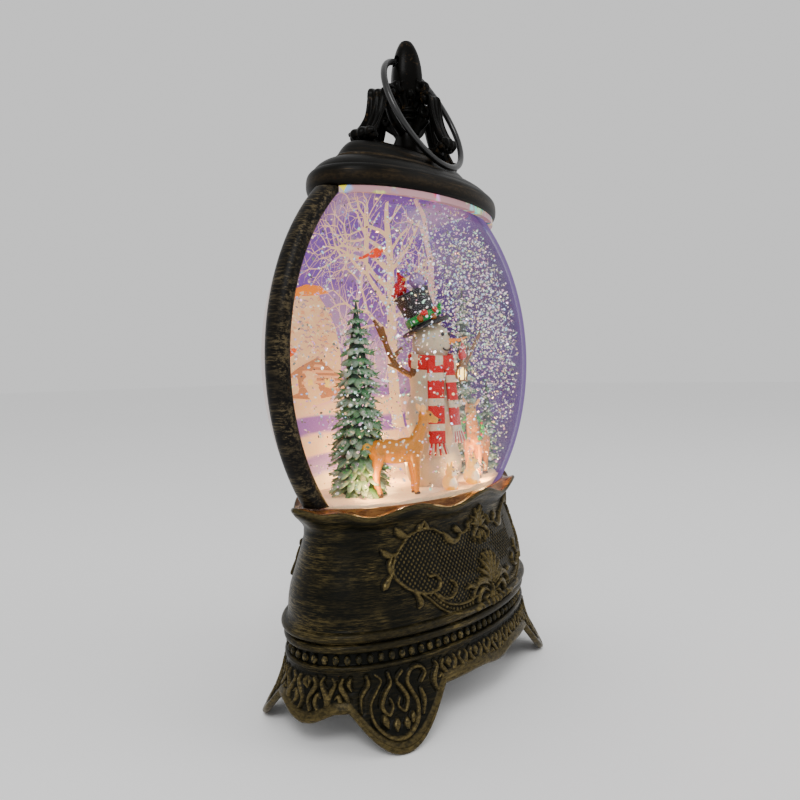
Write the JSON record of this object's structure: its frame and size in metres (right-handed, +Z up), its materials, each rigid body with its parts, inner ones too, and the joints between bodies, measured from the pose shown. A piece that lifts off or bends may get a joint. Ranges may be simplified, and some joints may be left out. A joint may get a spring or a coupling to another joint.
{
  "type": "snow globe lantern",
  "caption": "Oval liquid-filled snow globe lantern on a scrolled bronze-look base, with winter figures, swirling glitter, a battery light and a hanging ring.",
  "frame": {"origin": "on the table under the middle of the base", "axes": "+Z up, +X along the globe's width, -Y towards the front face"},
  "size_m": [0.185, 0.087, 0.29],
  "materials": {
    "bronze": "antique bronze paint brushed with gold-olive highlights, satin",
    "band_bronze": "near-black bronze with brown-gold brush strokes, satin",
    "cap_bronze": "near-black bronze with faint bronze glints, satin",
    "ring_steel": "black painted steel wire",
    "floor_plastic": "black moulded plastic, fine texture",
    "inner_plastic": "dark grey moulded plastic",
    "knob_plastic": "black moulded plastic",
    "screw_steel": "zinc plated steel",
    "contact_steel": "nickel plated spring steel",
    "shaft_steel": "bright drawn steel",
    "motor_can": "plated motor can",
    "cell_wrap": "plain printed metal wrap",
    "board_green": "green solder mask",
    "led_lens": "warm white translucent epoxy",
    "magnet_grey": "nickel plated magnet",
    "clear_plastic": "clear polished plastic",
    "liquid": "clear liquid with holographic glitter",
    "stopper_clear": "clear moulded plastic",
    "gasket_pale": "pale translucent silicone",
    "plug_rubber": "grey rubber",
    "impeller_white": "white moulded plastic",
    "film_print": "printed translucent winter backdrop",
    "snow": "cream-white resin snow with sparkle",
    "snowman_white": "painted resin",
    "hat_black": "black painted resin",
    "lantern_amber": "amber painted resin",
    "deer_tan": "tan painted resin",
    "pine_green": "dark green resin tipped with snow"
  },
  "bodies": {
    "housing": {"base_front_shell": "bronze", "base_rear_shell": "bronze", "base_floor": "floor_plastic", "floor_screws": "screw_steel", "inner_deck": "inner_plastic", "battery_box": "inner_plastic", "battery_cells": "cell_wrap", "battery_contacts": "contact_steel", "switch_body": "inner_plastic", "light_board": "board_green", "leds": "led_lens", "drive_motor": "motor_can", "motor_bracket": "contact_steel", "motor_screws": "screw_steel", "globe_front_shell": "clear_plastic", "globe_back_shell": "clear_plastic", "left_rim_band": "band_bronze", "right_rim_band": "band_bronze", "globe_stopper": "stopper_clear", "stopper_gasket": "gasket_pale", "fill_plug": "plug_rubber", "impeller_pin": "shaft_steel", "snow_ground": "snow", "scenic_film": "film_print", "liquid_fill": "liquid", "snowman": "snowman_white", "snowman_hat": "hat_black", "snowman_lantern": "lantern_amber", "left_deer": "deer_tan", "right_deer": "deer_tan", "small_animals": "deer_tan", "large_tree": "pine_green", "middle_tree": "pine_green", "small_tree": "pine_green", "cap_gasket": "gasket_pale", "top_cap": "cap_bronze", "finial": "cap_bronze"},
    "ring": {"ring_handle": "ring_steel"},
    "drive": {"drive_shaft": "shaft_steel", "drive_rotor": "impeller_white", "drive_magnets": "magnet_grey"},
    "stirrer": {"impeller": "impeller_white", "impeller_magnet": "magnet_grey"},
    "switch": {"switch_knob": "knob_plastic"},
    "door": {"battery_door": "floor_plastic"}
  },
  "joints": [
    {"name": "ring_swing", "type": "hinge", "parent": "housing", "child": "ring", "pos_m": [0, 0.002, 0.2795], "axis": [-1, 0, 0], "range_deg": [0, 311]},
    {"name": "drive_spin", "type": "hinge", "parent": "housing", "child": "drive", "pos_m": [0, 0, 0.0668], "axis": [0, 0, 1], "continuous": true},
    {"name": "impeller_spin", "type": "hinge", "parent": "housing", "child": "stirrer", "pos_m": [0, 0, 0.08], "axis": [0, 0, 1], "continuous": true},
    {"name": "switch_slide", "type": "slide", "parent": "housing", "child": "switch", "axis": [1, 0, 0], "range_m": [-0.004, 0]},
    {"name": "door_hinge", "type": "hinge", "parent": "housing", "child": "door", "pos_m": [0, 0.0237, 0.02075], "axis": [1, 0, 0], "range_deg": [0, 75]}
  ],
  "couplings": [
    {"joint": "impeller_spin", "follows": "drive_spin", "ratio": 1}
  ]
}
